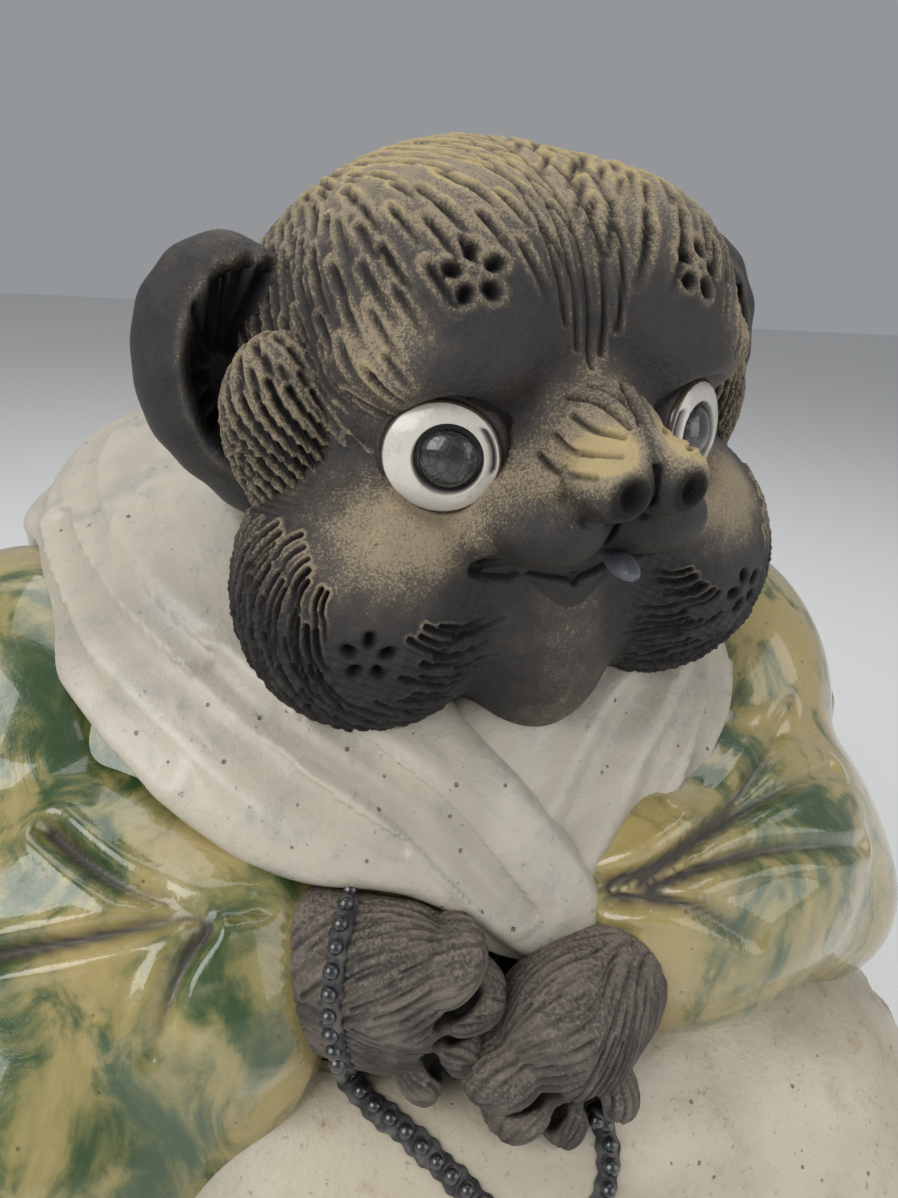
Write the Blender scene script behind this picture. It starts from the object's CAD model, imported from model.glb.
# %% [markdown]
# # A seated tanuki in fired clay
# The real object is a hand-built stoneware figure. Its head and paws are bare dark clay that
# was combed, stamped and pierced with tools. Its robe is glazed: cream on the lap and the
# shawl, mottled green on the sleeves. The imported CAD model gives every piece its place. This
# script dresses that model: each cell builds one piece as a surface worked out with numpy, or
# one finish out of shader nodes.

import bpy
import numpy as np
from mathutils import Matrix


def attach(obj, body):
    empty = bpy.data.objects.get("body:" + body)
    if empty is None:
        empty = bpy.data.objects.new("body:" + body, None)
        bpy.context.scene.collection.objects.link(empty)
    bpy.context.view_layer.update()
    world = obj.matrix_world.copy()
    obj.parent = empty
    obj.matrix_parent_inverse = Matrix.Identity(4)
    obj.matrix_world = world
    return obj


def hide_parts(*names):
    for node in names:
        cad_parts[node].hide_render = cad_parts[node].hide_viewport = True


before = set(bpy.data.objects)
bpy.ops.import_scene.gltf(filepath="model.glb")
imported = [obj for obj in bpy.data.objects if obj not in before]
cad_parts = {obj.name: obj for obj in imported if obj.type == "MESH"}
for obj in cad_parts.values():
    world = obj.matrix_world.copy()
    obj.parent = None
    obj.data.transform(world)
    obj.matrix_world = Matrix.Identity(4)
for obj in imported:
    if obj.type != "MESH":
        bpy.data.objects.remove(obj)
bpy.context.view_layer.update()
scene = bpy.context.scene

# %% [markdown]
# ## The camera
# The photograph was taken from close by with a short lens, from the figure's upper right. The
# eye point and the angles below come from matching points of the face and the robe, so the
# render can be laid over the photograph.

# %% Set up the camera
EYE_POINT = np.array([-51.6, -222.6, 284.9])
YAW, PITCH, ROLL = np.radians([15.74, 22.41, 4.18])

ahead = np.array([np.cos(PITCH) * np.sin(YAW), np.cos(PITCH) * np.cos(YAW), -np.sin(PITCH)])
level = np.array([np.cos(YAW), -np.sin(YAW), 0.0])
upward = np.cross(level, ahead)
right_way = np.cos(ROLL) * level + np.sin(ROLL) * upward
up_way = np.cos(ROLL) * upward - np.sin(ROLL) * level

PHOTO_MIDDLE = (449, 599)
FOCAL_PIXELS = 900
lens = bpy.data.cameras.new("photo_view")
lens.sensor_fit, lens.sensor_height, lens.lens = "VERTICAL", 36, 27.05
lens.clip_start = 0.01
camera = bpy.data.objects.new("photo_view", lens)
scene.collection.objects.link(camera)
pose = Matrix.Identity(4)
for place, axis in enumerate((right_way, up_way, -ahead, EYE_POINT / 1000)):
    for row in range(3):
        pose[row][place] = axis[row]
camera.matrix_world = pose
scene.camera = camera
print("camera stands", round(float(np.linalg.norm(EYE_POINT - [0, 0, 240]))), "mm from the head's middle")

# %% [markdown]
# ## From a grid of points to a mesh
# Every clay form here is a grid: rows run from one pole to the other, columns run round. The
# points are worked out in millimetres as whole arrays and go into the mesh in one step. A
# number for each point, such as how deep a tool went in, is kept as an attribute, so that a
# material can darken the cuts.

# %% Put a grid into a mesh
MM = 0.001
SIDES = ((-1, "right"), (1, "left"))


def lay(name, points, columns, finish, replaces, ring=False, **marks):
    """A closed mesh of a grid of points in millimetres, given row by row. Columns wrap round.
    The first and last row each close on their mean point, or wrap as well when ring is set.
    Each mark is a number for each point."""
    points = points.reshape(-1, 3)
    count = len(points)
    index = np.arange(count).reshape(-1, columns)
    beside = np.roll(index, -1, axis=1)
    if ring:
        above = np.roll(index, -1, axis=0)
        quads = np.stack([index, beside, np.roll(above, -1, axis=1), above], -1)
        fans = np.empty((0, 3), int)
    else:
        quads = np.stack([index[:-1], beside[:-1], beside[1:], index[1:]], -1)
        first, last = count, count + 1
        points = np.vstack([points, points[index[0]].mean(0), points[index[-1]].mean(0)])
        fans = np.vstack([np.stack([np.full(columns, first), beside[0], index[0]], -1),
                          np.stack([np.full(columns, last), index[-1], beside[-1]], -1)])
    quads = quads.reshape(-1, 4)
    corner = points - points.mean(0)
    a, b, d = (corner[quads[:, k]] for k in (0, 1, 3))
    if (np.cross(b - a, d - a) * a).sum() < 0:
        quads, fans = quads[:, ::-1], fans[:, ::-1]
    mesh = bpy.data.meshes.new(name)
    mesh.vertices.add(len(points))
    mesh.vertices.foreach_set("co", (points * MM).ravel())
    mesh.loops.add(quads.size + fans.size)
    mesh.loops.foreach_set("vertex_index", np.concatenate([quads.ravel(), fans.ravel()]))
    starts = np.concatenate([np.arange(len(quads)) * 4, quads.size + np.arange(len(fans)) * 3])
    mesh.polygons.add(len(starts))
    mesh.polygons.foreach_set("loop_start", starts)
    mesh.update(calc_edges=True)
    mesh.validate()
    mesh.shade_smooth()
    for mark, values in marks.items():
        layer = mesh.attributes.new(mark, "FLOAT", "POINT")
        flat = np.zeros(len(points), np.float32)
        flat[:count] = values.reshape(-1)
        layer.data.foreach_set("value", flat)
    piece = bpy.data.objects.new(name, mesh)
    scene.collection.objects.link(piece)
    mesh.materials.append(finish)
    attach(piece, "root")
    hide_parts(*replaces)
    print(f"{name}: {len(points)} points")


# %% [markdown]
# ## Soft unions of lumps
# A potter presses lumps of clay together and smooths the joins. A distance to each lump,
# melted with its neighbours, does the same: where two distances are close, a little clay is
# added. A ray from a point inside is followed inwards from outside until it meets the clay.

# %% Distances to lumps, and rays that find the surface


def unit(v):
    return v / np.maximum(np.linalg.norm(v, axis=-1, keepdims=True), 1e-9)


def mirrored(points):
    """Points with their x made positive, so that a form on one side stands on both."""
    return np.abs(points * [1, 0, 0]) + points * [0, 1, 1]


def spin(degrees, axis=2):
    """The matrix of a turn about one axis."""
    c, s = np.cos(np.radians(degrees)), np.sin(np.radians(degrees))
    turn = np.eye(3)
    p, q = [(1, 2), (2, 0), (0, 1)][axis]
    turn[p, p] = turn[q, q] = c
    turn[p, q], turn[q, p] = -s, s
    return turn


def ball(points, middle, halves, turn=0.0):
    """Distance to an ellipsoid: with k the length of the point in half sizes and g its length
    in squared half sizes, k times k minus 1, over g."""
    local = (points - np.asarray(middle, float)) @ (spin(turn) if np.isscalar(turn) else turn)
    halves = np.asarray(halves, float)
    k = np.linalg.norm(local / halves, axis=-1)
    g = np.linalg.norm(local / halves ** 2, axis=-1)
    return k * (k - 1) / np.maximum(g, 1e-9)


def melt(a, b, soft):
    """The smaller of two distances, lowered by a quarter of soft where they are equal."""
    near = np.maximum(soft - np.abs(a - b), 0) / soft
    return np.minimum(a, b) - near * near * soft / 4


def carve(a, b, soft):
    """The first form without the second, with an edge rounded over soft."""
    return -melt(-a, b, soft)


def trace(field, start, ways, far, steps=56):
    """The outermost point of a field along each way from start, found by stepping inwards by
    four fifths of the distance that is left."""
    reach = np.full(len(ways), float(far))
    for _ in range(steps):
        reach -= 0.8 * field(start + ways * reach[:, None])
        reach = np.clip(reach, 0.5, far)
    return start + ways * reach[:, None]


def slopes(field, points, step=0.25):
    """The outward direction of a field at points: its differences along x, y and z."""
    ways = np.stack([field(points + move) - field(points - move)
                     for move in np.eye(3) * step], -1)
    return unit(ways)


def seen(field, pixels):
    """Points of a field that lie behind pixels of the 898 by 1198 photograph, found by stepping
    away from the camera by seven tenths of the distance that is left."""
    pixels = np.asarray(pixels, float)
    across, down = (pixels.reshape(-1, 2) - PHOTO_MIDDLE).T[:, :, None]
    rays = unit(ahead + (across * right_way - down * up_way) / FOCAL_PIXELS)
    nearest, furthest = 60.0, 420
    reach = np.full(len(rays), nearest)
    for _ in range(60):
        reach += 0.7 * field(EYE_POINT + rays * reach[:, None])
        reach = np.clip(reach, nearest, furthest)
    return (EYE_POINT + rays * reach[:, None]).reshape(*pixels.shape[:-1], 3)


def ring_at(rings, up):
    """Rows of a table at values of its first column, by a cubic through the rows whose slope
    at a row is that between its neighbours."""
    up = np.clip(up, rings[0, 0], rings[-1, 0])
    k = np.clip(np.searchsorted(rings[:, 0], up) - 1, 0, len(rings) - 2)
    slope = np.gradient(rings[:, 1:], rings[:, 0], axis=0)
    step = (rings[k + 1, 0] - rings[k, 0])[..., None]
    s = ((up - rings[k, 0]) / step[..., 0])[..., None]
    return ((2 * s ** 3 - 3 * s ** 2 + 1) * rings[k, 1:] + (s ** 3 - 2 * s ** 2 + s) * step * slope[k]
            + (3 * s ** 2 - 2 * s ** 3) * rings[k + 1, 1:] + (s ** 3 - s ** 2) * step * slope[k + 1])


def smooth_line(points, count):
    """A denser line through points by a cubic of the same kind as the rings'."""
    table = np.column_stack([np.arange(len(points), dtype=float), np.asarray(points, float)])
    return ring_at(table, np.linspace(0, len(points) - 1, count))


def bow(start, end, bend, count=9):
    """A line from start to end whose middle is moved by bend."""
    s = np.linspace(0, 1, count)[:, None]
    return np.array(start) * (1 - s) + np.array(end) * s + np.array(bend) * np.sin(np.pi * s)


def fan(rows, columns, axis=0, crowd=0.0, toward=0.0):
    """Ways out of a middle: rows are angles from one axis, columns go round it. Columns crowd
    towards one angle, in degrees from the front or, round the upright axis, from the right."""
    lean = (np.arange(rows) + 0.5) / rows * np.pi
    v = np.arange(columns) / columns * 2 * np.pi
    swing = v - crowd * np.sin(v) + np.radians(toward)
    lean, swing = np.meshgrid(lean, swing, indexing="ij")
    along, x, y = np.cos(lean), np.sin(lean) * np.cos(swing), np.sin(lean) * np.sin(swing)
    parts = {0: (along, -x, y), 1: (x, along, y), 2: (x, y, along)}[axis]
    return np.stack(parts, -1).reshape(-1, 3)


def polar(leans, columns):
    """Two grids: the lean of each row and the swing of each column, once round."""
    return np.meshgrid(leans, np.linspace(0, 2 * np.pi, columns, endpoint=False), indexing="ij")


# %% [markdown]
# ## Tool marks
# Fur is cut into soft clay with a pointed tool: each stroke starts deep, shallows out and
# pushes up a small lip on both sides. A stroke is a short line of points on the surface. Each
# vertex near it sinks by a bell curve of its distance from that line.

# %% Strokes


def walk(field, start, seeds, heading, length, far=90):
    """One line over a surface from each seed. A step goes along the heading, laid into the
    surface, and then falls back onto the surface towards start."""
    here, line, steps = seeds, [seeds], 4
    for _ in range(steps):
        way = heading(here)
        out = slopes(field, here)
        way = unit(way - (way * out).sum(-1, keepdims=True) * out)
        there = here + way * np.reshape(length, (-1, 1)) / steps
        here = trace(field, start, unit(there - start), far)
        line.append(here)
    return np.stack(line, 1)


def score(points, lines, wide, deep, lip, blunt=0.0):
    """How far strokes sink each point, and how far their lips raise it. The depth falls from
    the start of a line to its end, unless blunt is 1. A lip stands 1.7 widths beside its line
    and is lip times as high as the stroke is deep. Nothing reaches further than 3 widths."""
    sunk, raised = np.zeros(len(points)), np.zeros(len(points))
    wide, deep = np.broadcast_to(wide, len(lines)), np.broadcast_to(deep, len(lines))
    for line, width, depth in zip(lines, wide, deep):
        low, high = line.min(0) - 3 * width, line.max(0) + 3 * width
        near = np.flatnonzero(((points > low) & (points < high)).all(1))
        if not near.size:
            continue
        best, share = np.full(near.size, 1e9), np.zeros(near.size)
        for count, (a, b) in enumerate(zip(line[:-1], line[1:])):
            ab = b - a
            s = np.clip((points[near] - a) @ ab / max(ab @ ab, 1e-9), 0, 1)
            gap = np.linalg.norm(points[near] - a - s[:, None] * ab, axis=1)
            closer = gap < best
            best[closer] = gap[closer]
            share[closer] = (count + s[closer]) / (len(line) - 1)
        fade = blunt + (1 - blunt) * np.clip(1.15 - share, 0, 1) ** 0.7
        bell = np.exp(-(best / width) ** 2 * 1.6) * fade * depth
        sunk[near] = np.maximum(sunk[near], bell)
        edge = np.exp(-((best - 1.7 * width) / (0.7 * width)) ** 2) * fade * depth * lip
        raised[near] = np.maximum(raised[near], edge)
    return sunk, raised * (sunk < 0.3 * deep.max())


# %% [markdown]
# ## Shader maths in plain Python
# A small class wraps a socket, so that a mask can be written as an expression. Each operator
# adds its Math node. Any other node comes from one method that sets the node's settings first
# and then its sockets.


class Wire:
    """An output socket that can be calculated with."""

    def __init__(self, make, socket):
        self.make, self.socket = make, socket

    def sum(self, how, *others):
        return self.make.node("ShaderNodeMath", {"operation": how}, *others)[0]

    def __add__(self, other): return self.sum("ADD", self, other)
    def __radd__(self, other): return self.sum("ADD", other, self)
    def __sub__(self, other): return self.sum("SUBTRACT", self, other)
    def __rsub__(self, other): return self.sum("SUBTRACT", other, self)
    def __mul__(self, other): return self.sum("MULTIPLY", self, other)
    def __rmul__(self, other): return self.sum("MULTIPLY", other, self)

    def high(self, other): return self.sum("MAXIMUM", self, other)
    def low(self, other): return self.sum("MINIMUM", self, other)


class Finish:
    """A material under construction."""

    def __init__(self, name, slot, **constants):
        self.material = bpy.data.materials.new(name)
        self.material.use_nodes = True
        self.tree = self.material.node_tree
        self.shader = self.tree.nodes["Principled BSDF"]
        for socket, value in constants.items():
            self.shader.inputs[socket.replace("_", " ")].default_value = value
        self.place = self.node("ShaderNodeTexCoord", {}).outputs["Object"]

    def node(self, kind, settings, *values, **named):
        """Any node: its settings, then the values or links of its sockets."""
        made = self.tree.nodes.new(kind)
        for key, value in settings.items():
            setattr(made, key, value)
        for socket, value in list(zip(made.inputs, values)) + [
                (made.inputs[key.replace("_", " ")], value) for key, value in named.items()]:
            if isinstance(value, Wire):
                value = value.socket
            if isinstance(value, bpy.types.NodeSocket):
                self.tree.links.new(value, socket)
            else:
                socket.default_value = value
        return Made(self, made)

    def noise(self, size_mm, detail=3.0, rough=0.55, place=None, warp=0.0):
        """Cloudy noise whose lumps are about size_mm across, from 0 to 1."""
        return self.node("ShaderNodeTexNoise", {}, Vector=place or self.place,
                         Scale=1000 / size_mm, Detail=detail, Roughness=rough,
                         Distortion=warp)[0]

    def dots(self, size_mm, feature="F1"):
        """Distance to scattered points that lie about size_mm apart, in cell sizes."""
        return self.node("ShaderNodeTexVoronoi", {"feature": feature}, Vector=self.place,
                         Scale=1000 / size_mm)["Distance"]

    def ramp(self, value, low, high, gain=1.0):
        """0 below low, gain above high, smooth between."""
        return self.node("ShaderNodeMapRange", {"interpolation_type": "SMOOTHSTEP"},
                         Value=value, From_Min=low, From_Max=high, To_Min=0.0, To_Max=gain)[0]

    def mark(self, name):
        """An attribute of the mesh."""
        return self.node("ShaderNodeAttribute", {"attribute_name": name})["Fac"]

    def mix(self, share, a, b):
        """Colour a where share is 0, colour b where it is 1."""
        made = self.node("ShaderNodeMix", {"data_type": "RGBA"}, share)
        for socket, value in ((made.inner.inputs[6], a), (made.inner.inputs[7], b)):
            if isinstance(value, Wire):
                self.tree.links.new(value.socket, socket)
            else:
                socket.default_value = (*value, 1)
        return Wire(self, made.inner.outputs[2])

    def bump(self, height, deep_mm, under=None):
        """Light and shade of a height from 0 to 1 that stands for deep_mm."""
        made = self.node("ShaderNodeBump", {}, Strength=1.0, Distance=deep_mm * MM, Height=height)
        if under is not None:
            self.tree.links.new(under.socket, made.inner.inputs["Normal"])
        return Wire(self, made.inner.outputs["Normal"])

    def wear(self, **links):
        """Link what varies into the shader."""
        for socket, value in links.items():
            self.tree.links.new(value.socket, self.shader.inputs[socket.replace("_", " ")])
        return self.material


class Made:
    """A node just made: its outputs as wires."""

    def __init__(self, make, inner):
        self.make, self.inner, self.outputs = make, inner, inner.outputs

    def __getitem__(self, key):
        return Wire(self.make, self.outputs[key])


# %% [markdown]
# ## Bare dark clay
# The head is iron-rich stoneware, fired without glaze. It is nearly black where the clay was
# smoothed, brown where it was cut, and sandy grit sticks out of the raised places as pale
# grains. The grit is denser where the mesh says that dust lies.

# %% Dark clay of the head
bare = Finish("head_clay", "dark_clay", Specular_IOR_Level=0.45)
dust, cut = bare.mark("dust"), bare.mark("cut")
cloud = bare.noise(22, 4)
patch = bare.noise(5, 5, 0.7)
grit = bare.noise(0.5, 3, 0.7)
fine = bare.noise(0.3, 2, 0.6)
black, smoke = (0.013, 0.012, 0.013), (0.032, 0.027, 0.024)
colour = bare.mix(bare.ramp(cloud + patch * 0.5, 0.5, 1.0), black, smoke)
haze = bare.ramp(dust + patch * 0.6, 0.4, 1.25, 0.85)
colour = bare.mix(haze, colour, (0.14, 0.112, 0.08))
sand = bare.ramp(patch * 0.35 + grit * 0.95 + dust * 0.44, 0.88, 1.08)
colour = bare.mix(sand * 0.85, colour, (0.36, 0.29, 0.19))
ochre = bare.ramp(bare.noise(6, 3) * 0.5 + dust * 0.6 + grit * 0.35, 1.04, 1.2)
colour = bare.mix(ochre * 0.85, colour, (0.5, 0.39, 0.19))
colour = bare.mix(cut.low(1.0) * 0.9, colour, (0.005, 0.004, 0.004))
relief = bare.bump(grit * 0.6 + fine * 0.4, 0.45)
relief = bare.bump(patch, 0.9, relief)
rough = (0.38 + bare.ramp(sand + cut, 0.0, 0.8) * 0.44) + cloud * 0.12
head_clay = bare.wear(Base_Color=colour, Roughness=rough, Normal=relief)
print("finish:", head_clay.name)

# %% [markdown]
# ## The head
# The skull, forehead, face, jowls, chin and brows are lumps on one hollow ball. They are
# melted together into one surface, because the potter smoothed those joins away. All places
# are in the head's own frame, in millimetres, and are turned into the figure's frame last.

# %% Lumps of the head
HEAD_MIDDLE = np.array([8.6, -16.3, 248.5])
HEAD_TURN = spin(8.9) @ spin(-3.7, 1)


def head_to_figure(points):
    return points @ HEAD_TURN.T + HEAD_MIDDLE


def in_head(points):
    return (points - HEAD_MIDDLE) @ HEAD_TURN


def head_field(p):
    """Distance to the head without its snout."""
    q = mirrored(p)
    d = ball(q, (0, 3, 2), (57, 53, 53))
    d = melt(d, ball(q, (15, -22, 22), (31, 31, 27)), 8)
    d = melt(d, ball(q, (0, -10, -24), (47, 41, 42)), 12)
    d = melt(d, ball(q, (33.5, -23, -34), (29, 31, 31.5), 50), 6)
    d = melt(d, ball(q, (28, -43, 15), (17, 9, 7), 26), 7)
    d = melt(d, ball(q, (30, -40, -16), (14, 13, 10), 30), 8)
    d = carve(d, ball(q, (26.5, -50.5, -0.5), (12.2, 9, 11.6), 28), 2.5)
    return d


def snout_field(p):
    """Distance to the snout, chin and nose alone."""
    q = mirrored(p)
    d = ball(q, (0, -31.5, -44), (19.5, 21, 26.5))
    lip = melt(ball(q, (9, -50, -11.5), (13, 20, 9.6), 12), ball(q, (0, -42, 2), (12, 31, 12.5)), 7)
    lip = melt(lip, ball(q, (0, -38, -8), (21, 20, 16)), 8)
    lip = melt(lip, ball(q, (5.6, -70, -1.5), (6.6, 7.5, 6.6)), 3.5)
    lip = carve(lip, ball(q, (6.0, -78.4, -2.2), (2.3, 4.5, 2.8)), 0.8)
    return melt(d, lip, 4)


def face_field(p):
    """The whole head, with a raised rim over each corner of the mouth."""
    q = mirrored(p)
    d = melt(head_field(p), snout_field(p), 5)
    return melt(d, ball(q, (20.5, -49.5, -15.2), (6.5, 5, 2.8), 30), 3)


ORIGIN = np.zeros(3)


def on_head(ways):
    """Points of the head along ways from its middle."""
    return trace(face_field, ORIGIN, ways, 88)


def head_behind(pixels):
    """Points of the head, in its own frame, behind pixels of the photograph."""
    return in_head(seen(lambda p: face_field(in_head(p)), pixels))


HEAD_ROWS, HEAD_COLUMNS = 250, 380
head_points = on_head(fan(HEAD_ROWS, HEAD_COLUMNS, 0, 0.5, 8))
print("head reaches", np.round(head_points.min(0), 1), np.round(head_points.max(0), 1))

# %% [markdown]
# ## Fur, grooves and stamps
# The crown, the temples and the back are combed forwards and down. The jowls carry rows of
# short strokes that spread out from a smooth patch. A five-hole stamp, like a plum flower,
# is pressed twice into the forehead and once into each cheek. Fine lines run down the middle
# of the forehead, and the sides of the snout have a few curved scratches.

# %% Cut the head
rng = np.random.default_rng(7)
GOLDEN_ANGLE = 2.399963


def golden(count):
    """Evenly scattered ways: each next one is turned by the golden angle and a step lower."""
    k = np.arange(count)
    z = 1 - (2 * k + 1) / count
    swing = k * GOLDEN_ANGLE
    flat = np.sqrt(1 - z * z)
    return np.stack([flat * np.cos(swing), flat * np.sin(swing), z], -1)


def score_by_hand(points, lines, wide, deep, lip, blunt=0.0):
    """Score lines whose widths and depths are drawn at random between two limits."""
    return score(points, lines, rng.uniform(*wide, len(lines)), rng.uniform(*deep, len(lines)), lip, blunt)


def comb(p):
    """Forwards and down, and in towards the middle line in front of the ears."""
    front = np.clip(-p[:, 1:2] / 30 + 0.6, 0, 1)
    inward = -np.sign(p[:, :1]) * (0.25 + 0.35 * front)
    return np.hstack([inward, -0.75 * np.ones_like(inward), -0.55 - 0.6 * front])


crown_seeds = on_head(golden(1150))
x, y, z = crown_seeds.T
smooth_face = (x / 41) ** 2 + ((z - 2) / 37) ** 2 < 1
jowl = (z < -8) & (y < 12)
combed = ~jowl & ~((y < 0) & smooth_face) & (np.abs(x) > 4) & (z > -30)
crown_seeds = crown_seeds[combed] + rng.normal(0, 0.8, (combed.sum(), 3))
crown_lines = walk(face_field, ORIGIN, crown_seeds, comb, rng.uniform(6.5, 12.5, len(crown_seeds)))

patch_spot = head_behind([(376, 545)])[0] * [-1, 1, 1]
JOWL_ROWS = ((25, 7, 300, 385), (37, 8, 222, 392), (50, 8, 205, 395), (63, 8, 200, 398),
             (76, 8, 200, 400), (89, 8, 205, 400), (101, 8, 215, 395))
JOWL_RADIUS, JOWL_FAR, STROKE_GAP = 31, 45, 1.9

brow_lines, dense = [], 26
for out in (-9.5, -5.0, -0.5, 3.5, 8.0):
    rise = np.radians(np.linspace(84, 15 + abs(out) * 0.9, dense))
    ways = unit(np.stack([np.full(dense, out / 56) * np.linspace(1.5, 0.55, dense) ** 0.8,
                          -np.cos(rise), np.sin(rise)], -1))
    brow_lines.append(on_head(ways))
brow_lines = np.stack(brow_lines)

# A tool's mark is four numbers: how wide, how deep, how high its lip, and how blunt its end.
HOLE = (1.25, 3.0, 0.15, 1.0)
MOUTH, MOUTH_END = (1.25, 4.0, 0, 0.6), (2.0, 4.5, 0, 1.0)


def stamp(out, back, up, tip):
    """Five short holes in a ring, pressed along the surface's own direction. The middle lies
    on the way out, back and up, and the first hole is turned by tip."""
    start = on_head(unit(np.array([[out, back, up]], float)))
    way = slopes(face_field, start)[0]
    across = unit(np.cross(way, [0, 0, 1.0]))
    rise = np.cross(across, way)
    holes, around, half = [], 3.9, 0.45
    for turn in np.radians(tip + 72 * np.arange(5)):
        spoke = across * np.cos(turn) + rise * np.sin(turn)
        holes.append(np.linspace(start[0] + spoke * (around - half),
                                 start[0] + spoke * (around + half), 3))
    return on_head(unit(np.concatenate(holes))).reshape(5, 3, 3)


stamps = np.concatenate([stamp(-22.8, -50, 31.2, 10), stamp(22.8, -50, 31.2, 40),
                         stamp(-37.4, -43.6, -31, 25), stamp(37.4, -43.6, -31, 0)])
stamp_middles = stamps.mean(1).reshape(4, 5, 3).mean(1)

CHIN_HALF = 14.0
MOUTH_PIXELS = [(479, 568), (505, 572), (535, 573), (575, 576), (612, 573), (650, 562)]
mouth_line = head_behind(smooth_line(MOUTH_PIXELS, 14))
mouth_line[:, 0] = np.minimum(mouth_line[:, 0], 0)
mouth_lines = np.stack([mouth_line, mouth_line * [-1, 1, 1]])


def mouth_cut(points):
    """How far the mouth's line and the pits at its corners sink each point."""
    return np.maximum(score(points, mouth_lines, *MOUTH)[0],
                      score(points, mouth_lines[:, :4], *MOUTH_END)[0])


def jowl_frame(side):
    """Middle of a jowl, the way to its smooth patch, the way outwards and the way up."""
    middle = np.array([33.5 * side, -23, -34])
    out = unit(patch_spot * [side, 1, 1] - middle)
    outwards = unit(np.array([side, 0, 0]) - out * out[0] * side)
    rise = np.cross(out, outwards)
    return middle, out, outwards, rise * np.sign(rise[2])


def jowl_lines(side):
    """Strokes that spread out from the smooth patch of one cheek, in rows. Each row has a lean
    from the patch, a length, and the turns between which it runs: 0 outwards, 90 up. Strokes
    that would meet the chin, a stamp or the mouth are left out."""
    middle, out, outwards, rise = jowl_frame(side)
    rows = []
    for lean, long, low, high in JOWL_ROWS:
        count = int(np.radians(high - low) * JOWL_RADIUS * np.sin(np.radians(lean)) / STROKE_GAP)
        swing = np.radians(np.linspace(low, high, count) + rng.uniform(-2, 2, count))
        leans = np.radians(lean + rng.uniform(-4, 4, count))
        line = []
        for step in np.linspace(0, 1, 5):
            a = leans + step * long / JOWL_RADIUS * rng.uniform(0.8, 1.15)
            b = swing - 0.22 * step - 0.1 * step * step
            way = (out * np.cos(a)[:, None] + np.sin(a)[:, None]
                   * (outwards * np.cos(b)[:, None] + rise * np.sin(b)[:, None]))
            line.append(trace(face_field, middle, way, JOWL_FAR))
        rows.append(np.stack(line, 1))
    rows = np.concatenate(rows)
    clear = (np.abs(rows[..., 0]) > CHIN_HALF).all(1)
    for spots, reach in ((stamp_middles, 7.5), (mouth_lines.reshape(-1, 3), 5.5)):
        gaps = np.linalg.norm(rows[:, :, None] - spots, axis=-1)
        clear &= (gaps > reach).all((1, 2))
    return rows[clear]


fur_cut, fur_lip = score_by_hand(head_points, crown_lines, (0.65, 1.0), (0.9, 1.6), 0.4)
line_cut, line_lip = score(head_points, brow_lines, 0.6, 1.0, 0.3, 1.0)
hole_cut, hole_lip = score(head_points, stamps, *HOLE)
sunk = np.maximum.reduce([fur_cut, line_cut, hole_cut])
raised = np.maximum.reduce([fur_lip, line_lip, hole_lip]) * (sunk < 0.4)
print(len(crown_lines), "strokes of fur on the crown")

# %% [markdown]
# ## Dust and the snout's own patch
# The snout needs finer points than the rest of the head, so it is a patch of its own, traced
# from a middle inside the snout on the same melted form. The head sinks a little under it.

# %% Finish the head's mesh


def dust_on_head(p, outward):
    """Where pale grit lies: on what faces up, the brows, the cheeks, the snout's top."""
    def near(x, y, z, reach):
        gap = np.linalg.norm(mirrored(p) - [x, y, z], axis=1)
        return np.exp(-(gap / reach) ** 2)
    up = np.clip(outward[:, 2], 0, 1)
    crown = np.clip((p[:, 2] - 22) / 26, 0, 1) * (0.3 + 0.45 * up)
    chin = np.exp(-(p[:, 0] / 12) ** 2) * np.clip((-24 - p[:, 2]) / 6, 0, 1) * (p[:, 1] < -20)
    return np.clip(0.2 * up * (p[:, 1] < 10) + crown + 0.45 * chin + 1.1 * near(34, -42, 17, 9)
                   + 0.85 * near(*patch_spot, 13) + 0.6 * near(30, -48, -14, 9)
                   + 0.5 * near(0, -56, 10, 10) + 0.75 * near(9, -64, 2, 9)
                   + 0.65 * near(17, -52, -8, 11) + 0.35 * near(50, -22, 4, 16), 0, 1)


SNOUT_MIDDLE = np.array([0.0, -42, -9])
head_out = slopes(face_field, head_points)


def lean_from(points, middle, way):
    """Angle in degrees between a way and the lines from a middle to points."""
    return np.degrees(np.arccos(np.clip(unit(points - middle) @ way, -1, 1)))


def under_snout(points):
    """1 where a surface must sink under the snout's patch, 0 outside it."""
    lean = lean_from(points, SNOUT_MIDDLE, unit(np.array([0, -1.0, -0.1])))
    return np.clip((66 - lean) / 6, 0, 1) * (points[:, 1] < -40)


tucked = under_snout(head_points)
for side in (-1, 1):
    middle, out_way = jowl_frame(side)[:2]
    near_jowl = np.linalg.norm(head_points - middle, axis=1) < 36
    lean = lean_from(head_points, middle, out_way)
    tucked = np.maximum(tucked, np.clip((97 - lean) / 6, 0, 1) * near_jowl)
head_grid = head_points + head_out * (raised * (1 - tucked) - sunk - 1.6 * tucked)[:, None]
head_dust = dust_on_head(head_points, head_out) + 0.5 * np.clip(raised / 0.4, 0, 1)
jaw_dark = np.clip((-28 - head_points[:, 2]) / 12, 0, 1)
head_cut = np.clip(sunk / 1.2, 0, 1) + 0.2 * jaw_dark * (np.abs(head_points[:, 0]) > 16)
lay("head", head_to_figure(head_grid), HEAD_COLUMNS, head_clay,
    ("skull", "jaw", "right_brow", "left_brow"), cut=head_cut, dust=head_dust)

# %% [markdown]
# ## The jowls
# The short strokes of a jowl are half a millimetre wide, too fine for the head's own grid. A
# jowl is a finer patch round its smooth middle. Its edge dips into the head, and where the
# snout's patch begins it sinks under that.

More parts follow.
